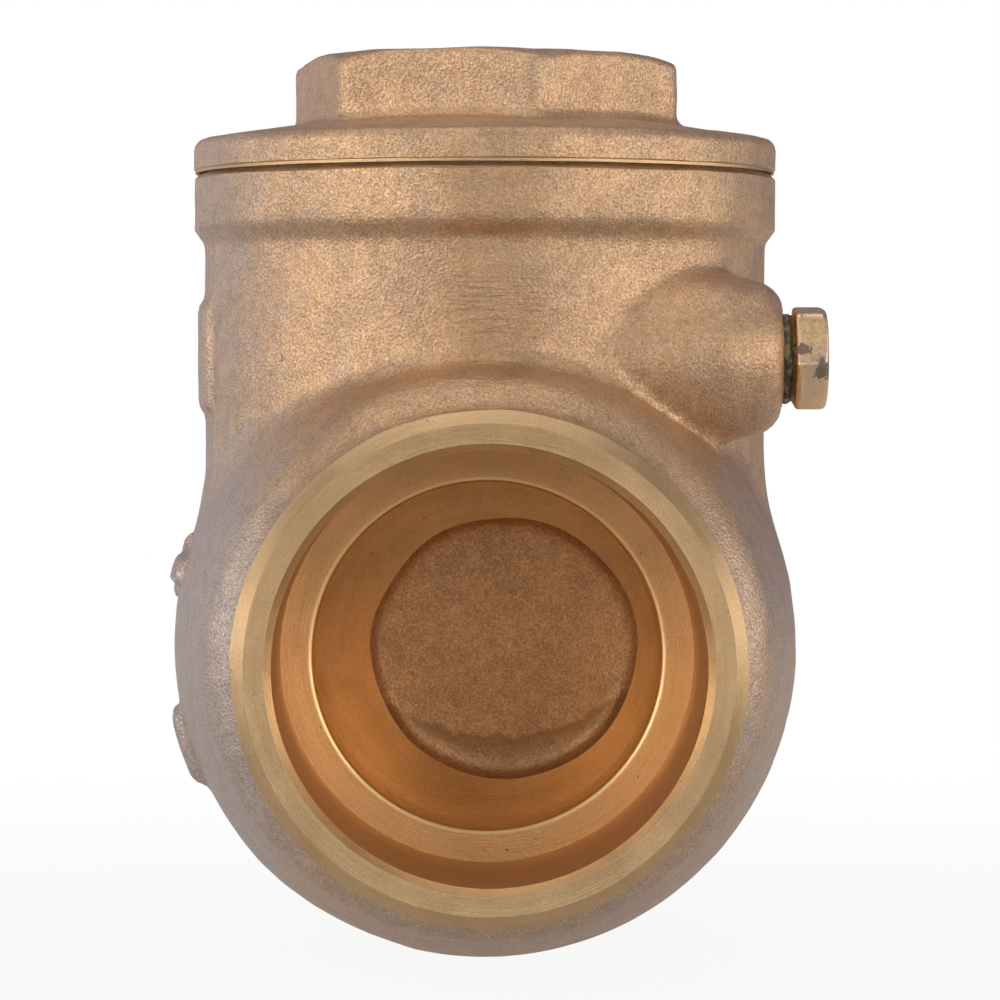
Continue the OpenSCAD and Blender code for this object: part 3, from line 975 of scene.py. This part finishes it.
def armPiece(a, material, boredMaterial):
    low = np.array([-a["eyeHalf"], -1.5, -a["hubR"]]) - 1
    high = np.array([a["eyeHalf"], a["thick"] + 2.5, a["pinUp"] + a["eyeR"]]) + 1
    grid = Grid(low, high, a["cell"])
    aroundHub = np.hypot(grid.x, grid.z)
    aroundEye = np.hypot(grid.y - a["thick"] / 2, grid.z - a["pinUp"])
    slab = np.abs(grid.y - a["thick"] / 2) - a["thick"] / 2
    hub = roundCorner(aroundHub - a["hubR"] + 0 * grid.y, slab + 0 * aroundHub, a["round"])
    eyeEnds = np.abs(grid.x) - a["eyeHalf"] + 0 * aroundEye
    eye = roundCorner(aroundEye - a["eyeR"] + 0 * grid.x, eyeEnds, a["round"])
    rise = np.clip((grid.z - a["hubR"]) / (a["pinUp"] - a["hubR"]), 0, 1)
    half = a["width"] / 2 + (a["eyeHalf"] * 0.75 - a["width"] / 2) * rise
    ends = np.maximum(-grid.z, grid.z - a["pinUp"])
    sides = np.maximum(np.abs(grid.x) - half, ends) + 0 * grid.y
    strap = roundCorner(sides, slab + 0 * grid.x, a["round"])
    field = weld(weld(hub, strap, a["strapFillet"]), eye, a["eyeFillet"])
    field = field + unevenness(grid, *a["wave"])
    made = leaned(dressed(skinned("hingeArmCast", field, grid), material), a["back"])
    pinR = body["pinR"]
    hole = [(0, -4), (a["holeR"], -4), (a["holeR"], a["thick"] + 4), (0, a["thick"] + 4)]
    eyeHole = [(0, -20), (pinR, -20), (pinR, 20), (0, 20)]
    tools = [
        turned("armHole", hole, seatPoint(0, a["back"], 0), seatAxis, 64),
        turned("armEyeHole", eyeHole, (0, pinY, pinZ), (1, 0, 0), 48),
    ]
    for tool in tools:
        dressed(tool, boredMaterial)
    return smoothed(combined(made, joined(tools)))


def nutPiece(n, material):
    grid = Grid((-7, -0.8, -7), (7, n["thick"] + 0.8, 7), n["cell"])
    around = np.hypot(grid.x, grid.z)
    sides = hexField(grid.x, grid.z, n["flats"], 30, 0.3)
    slab = np.abs(grid.y - n["thick"] / 2) - n["thick"] / 2
    cone = (around - n["flats"] / 2 + 0.1) * 0.5 + slab * 0.866
    field = trim(trim(sides + 0 * grid.y, slab + 0 * around, 0.2), cone, 0.2)
    made = leaned(dressed(skinned("discNutMade", field, grid), material), n["back"])
    hole = [(0, -2), (n["boreR"], -2), (n["boreR"], n["thick"] + 2), (0, n["thick"] + 2)]
    tool = dressed(turned("nutHole", hole, seatPoint(0, n["back"], 0), seatAxis, 64), material)
    return smoothed(combined(made, tool))


nutBrass = turnedBronze("nutBrass", turnedLook, "Y")
castArm = castBronze("castBronzeArm", castLook)
seated(armPiece(arm, castArm, nutBrass), "arm", "cast_bronze_arm", "hinge_arm")
seated(nutPiece(nut, nutBrass), "flap", "nut_brass", "disc_nut")


# The pin plug: stained brass hexagon, thread and dark sealant
plug = {
    "cell": 0.12,
    "flats": 8.4,
    "headFrom": 26.6,
    "headH": 2.85,
    "turn": 22.2,
    "shankR": 3.6,
    "shankFrom": 17.1,
    "pitch": 1.0,
    "threadDepth": 0.45,
    "flareSlope": 0.8,
}
sealant = {
    "cell": 0.12,
    "from": 25.0,
    "to": 27.4,
    "x": 25.85,
    "r": 3.45,
    "half": 0.3,
    "squeeze": 0.7,
    "waves": ((1.0, 0.08, 51), (0.4, 0.03, 52)),
}
plugLook = {
    "brass": (0.80, 0.55, 0.30, 1),
    "film": (0.66, 0.47, 0.34, 1),
    "stain": (0.085, 0.065, 0.055, 1),
    "thread": (0.20, 0.15, 0.06, 1),
    "threadEdge": (26.35, 26.6),
    "blotFront": 4.2,
    "blotDeep": 0.7,
    "blotRagged": 3.2,
    "blots": ((28.95, -1.15, 2.25), (28.75, 3.3, 2.05), (27.3, 0.7, 1.95)),
    "rough": (0.26, 0.5),
}
sealantLook = {"dark": (0.045, 0.038, 0.024, 1), "green": (0.26, 0.20, 0.085, 1), "rough": 0.5}


def plugBrass(look):
    material, net = newFinish("plugBrass")
    place = net.place()
    film = net.ease(net.noise(place, 3.2, 3.0, 0.6, 2.0), 0.40, 0.66)
    scuff = net.noise(place, 0.35, 3.0, 0.7, 5.0)
    colour = net.mix(film * 0.85, look["brass"], look["film"])
    blots = net.noise(place, 1.5, 4.0, 0.6, 27.0) * 0.75 + scuff * 0.25
    stain = net.ease(blots, 0.56, 0.64)
    ragged = net.noise(place, 0.8, 4.0, 0.7, 43.0)
    across, along, up = net.apart(place)
    for x, z, size in look["blots"]:
        shift = across - x
        rise = up - (pinZ + z)
        deep = (along - (pinY - look["blotFront"])) * look["blotDeep"]
        around = (shift * shift + rise * rise + deep * deep) ** 0.5
        around = around + ragged * look["blotRagged"]
        stain = stain + net.ease(around, size, size + 0.3, 1.0, 0.0)
    stain = net.ease(stain, 0.0, 1.0)
    thread = net.ease(across, look["threadEdge"][0], look["threadEdge"][1], 1.0, 0.0)
    colour = net.mix(thread * 0.75, colour, look["thread"])
    colour = net.mix(stain * 0.85, colour, look["stain"])
    rough = net.ease(scuff, 0.3, 0.7, look["rough"][0], look["rough"][1])
    net.finish(colour, rough + stain * 0.3, 1.0 - stain * 0.9, net.relief(scuff, 0.02))
    return material


def sealantPaste(look):
    material, net = newFinish("sealantPaste")
    place = net.place()
    cloud = net.ease(net.noise(place, 0.8, 3.0, 0.6), 0.42, 0.62)
    colour = net.mix(cloud, look["dark"], look["green"])
    net.finish(colour, look["rough"], 0.0, net.relief(net.noise(place, 0.3), 0.05))
    return material


def plugPiece(p, material):
    top = p["headFrom"] + p["headH"]
    side = 5.4
    low = (p["shankFrom"] - 0.6, pinY - side, pinZ - side)
    grid = Grid(low, (top + 0.6, pinY + side, pinZ + side), p["cell"])
    across = grid.y - pinY
    up = grid.z - pinZ
    around = np.hypot(across, up)
    sides = hexField(across, up, p["flats"], 180 - p["turn"], 0.35)
    slab = np.maximum(p["headFrom"] - grid.x, grid.x - top)
    cone = (around - p["flats"] / 2 + 0.05) * 0.5 + (grid.x - top) * 0.866
    head = trim(roundCorner(sides + 0 * grid.x, slab + 0 * around, 0.3), cone, 0.3)
    wave = grid.x / p["pitch"] - np.arctan2(up, across) / math.tau
    tooth = np.abs(wave - np.round(wave)) * 2
    ends = np.maximum(p["shankFrom"] - grid.x, grid.x - top + 1)
    shank = np.maximum(around - p["shankR"] + p["threadDepth"] * tooth, ends)
    flareR = p["shankR"] + 0.2 + p["flareSlope"] * (grid.x - p["headFrom"] + 0.1)
    flare = np.maximum(around - flareR, np.abs(grid.x - p["headFrom"]) - 0.5)
    field = weld(weld(head, shank, 0.2), flare, 0.2)
    return smoothed(dressed(skinned("pinPlugBrass", field, grid), material), 50)


def sealantRing(p, material):
    side = 5.6
    low = (p["from"], pinY - side, pinZ - side)
    grid = Grid(low, (p["to"], pinY + side, pinZ + side), p["cell"])
    around = np.hypot(grid.y - pinY, grid.z - pinZ)
    field = np.hypot(around - p["r"], (grid.x - p["x"]) * p["squeeze"]) - p["half"]
    for wave in p["waves"]:
        field = field + unevenness(grid, *wave)
    return smoothed(dressed(skinned("plugSealant", field, grid), material), 60)


seated(plugPiece(plug, plugBrass(plugLook)), "housing", "plug_brass", "pin_plug")
seated(sealantRing(sealant, sealantPaste(sealantLook)), "housing", "plug_brass")


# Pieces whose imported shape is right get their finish
keptLooks = {
    "cap_gasket": {
        "name": "gasketFibre", "light": (0.30, 0.19, 0.11, 1), "dark": (0.17, 0.105, 0.065, 1),
        "rough": 0.7, "metallic": 0.0, "grain": 0.5, "depth": 0.03,
    },
    "hinge_pin": {
        "name": "pinSteel", "light": (0.62, 0.61, 0.6, 1), "dark": (0.5, 0.49, 0.48, 1),
        "rough": 0.25, "metallic": 1.0, "grain": 0.3, "depth": 0.004,
    },
    "disc_washer": {
        "name": "washerBrass", "light": (0.66, 0.45, 0.22, 1), "dark": (0.5, 0.33, 0.16, 1),
        "rough": 0.3, "metallic": 1.0, "grain": 1.2, "depth": 0.01,
    },
}


def plainFinish(look):
    material, net = newFinish(look["name"])
    grain = net.noise(net.place(), look["grain"], 3.0, 0.6)
    colour = net.mix(net.ease(grain, 0.35, 0.65), look["dark"], look["light"])
    rough = net.ease(grain, 0.3, 0.7, look["rough"], look["rough"] * 1.3)
    net.finish(colour, rough, look["metallic"], net.relief(grain, look["depth"]))
    return material


for node, look in keptLooks.items():
    dressed(frame["nodes"][node], plainFinish(look))
print("stage: kept pieces finished")


# Floor, world, lamps and camera
view = {
    "lens": 180.0,
    "sensor": 36.0,
    "stand": (-3.57, -423.6, 20.8),
    "turnRight": 0.63,
    "lookDown": 1.03,
}
studio = {
    "floorSize": 6.0,
    "floorColour": (0.55, 0.55, 0.55, 1),
    "floorGlow": 0.92,
    "glowFade": (45.0, 240.0),
    "bounce": 0.33,
    "bounceFade": (-90.0, -30.0),
    "behind": (0.18, 0.185, 0.28, 1),
    "behindFade": (-0.35, 0.75),
    "highFrom": (0.08, 0.45),
    "highLeft": 0.58,
    "highRight": 0.31,
    "highFade": 0.2,
    "centre": 0.83,
    "sides": 3.5,
    "sidesFade": (0.02, 0.22),
    "aim": (0, 10),
    "boxes": [
        {"name": "softboxLeft", "from": (-52, 22), "away": 0.62, "size": (0.34, 0.5), "level": 0.4},
        {"name": "softboxFarRight", "from": (78, 20), "away": 0.62, "size": (0.36, 0.5), "level": 0.2},
        {"name": "softboxNearRight", "from": (26, 10), "away": 0.62, "size": (0.14, 0.4), "level": 0.54},
        {"name": "softboxTop", "from": (0, 82), "away": 0.70, "size": (0.8, 0.6), "level": 0.95},
        {"name": "softboxBackLeft", "from": (-138, 15), "away": 0.62, "size": (0.36, 0.5), "level": 0.55},
    ],
}


def makeFloor(st):
    z = cadBox[0][2]
    half = st["floorSize"] / 2
    corners = [(-half, -half, z), (half, -half, z), (half, half, z), (-half, half, z)]
    mesh = bpy.data.meshes.new("floor")
    mesh.from_pydata(corners, [], [(0, 1, 2, 3)])
    floor = linked("floor", mesh)
    material, net = newFinish("paleFloor")
    path = net.add("ShaderNodeLightPath", {}, {}, "Is Camera Ray")
    across, depth, _ = net.apart(net.place())
    depth = depth - midY
    away = (across * across + depth * depth) ** 0.5
    shown = path * net.ease(away, *st["glowFade"], st["floorGlow"], 1.0)
    near, far = st["bounceFade"]
    share = shown + (1 - path) * net.ease(depth, near, far, 0.0, st["bounce"])
    paint = net.add("ShaderNodeBsdfDiffuse", {}, {"Color": st["floorColour"]})
    glow = net.add("ShaderNodeEmission", {}, {"Color": (1, 1, 1, 1), "Strength": 1.0})
    both = net.add("ShaderNodeMixShader", {}, {0: share, 1: paint, 2: glow})
    net.add("ShaderNodeOutputMaterial", {}, {"Surface": both}, None)
    mesh.materials.append(material)


def makeWorld(st):
    world = bpy.data.worlds.new("studio")
    bpy.context.scene.world = world
    world.use_nodes = True
    net = Net(world.node_tree)
    way = net.add("ShaderNodeTexCoord", {}, {}, "Generated")
    side, depth, up = net.apart(way)
    high = net.ease(up, *st["highFrom"])
    level = high * net.ease(side, -st["highFade"], st["highFade"], st["highLeft"], st["highRight"])
    level = level + (1 - high) * net.ease(side * side, *st["sidesFade"], st["centre"], st["sides"])
    light = net.mix(net.ease(depth, *st["behindFade"]), net.grey(level), st["behind"])
    path = net.add("ShaderNodeLightPath", {}, {}, "Is Camera Ray")
    seen = net.mix(path, light, (1, 1, 1, 1))
    back = net.add("ShaderNodeBackground", {}, {"Color": seen, "Strength": 1.0})
    net.add("ShaderNodeOutputWorld", {}, {"Surface": back}, None)


def makeLamps(st):
    across, up = st["aim"]
    middle = Vector((across, midY, up)) * mm
    for lamp in st["boxes"]:
        data = bpy.data.lights.new(lamp["name"], "AREA")
        data.shape = "RECTANGLE"
        data.size, data.size_y = lamp["size"]
        data.energy = lamp["level"] * math.pi * data.size * data.size_y
        azimuth, height = [math.radians(v) for v in lamp["from"]]
        flat = math.cos(height)
        way = Vector((math.sin(azimuth) * flat, -math.cos(azimuth) * flat, math.sin(height)))
        holder = bpy.data.objects.new(lamp["name"], data)
        bpy.context.scene.collection.objects.link(holder)
        holder.location = middle + way * lamp["away"]
        holder.rotation_euler = way.to_track_quat("Z", "Y").to_euler()


def makeCamera(v):
    data = bpy.data.cameras.new("photoView")
    data.lens = v["lens"]
    data.sensor_width = v["sensor"]
    data.sensor_fit = "HORIZONTAL"
    data.clip_start = 0.01
    holder = bpy.data.objects.new("photoView", data)
    bpy.context.scene.collection.objects.link(holder)
    holder.location = Vector(v["stand"]) * mm
    holder.rotation_euler = (math.radians(90 - v["lookDown"]), 0, math.radians(-v["turnRight"]))
    bpy.context.scene.camera = holder


makeFloor(studio)
makeWorld(studio)
makeLamps(studio)
makeCamera(view)
bpy.context.scene.view_settings.view_transform = "Standard"
print("stage: studio")
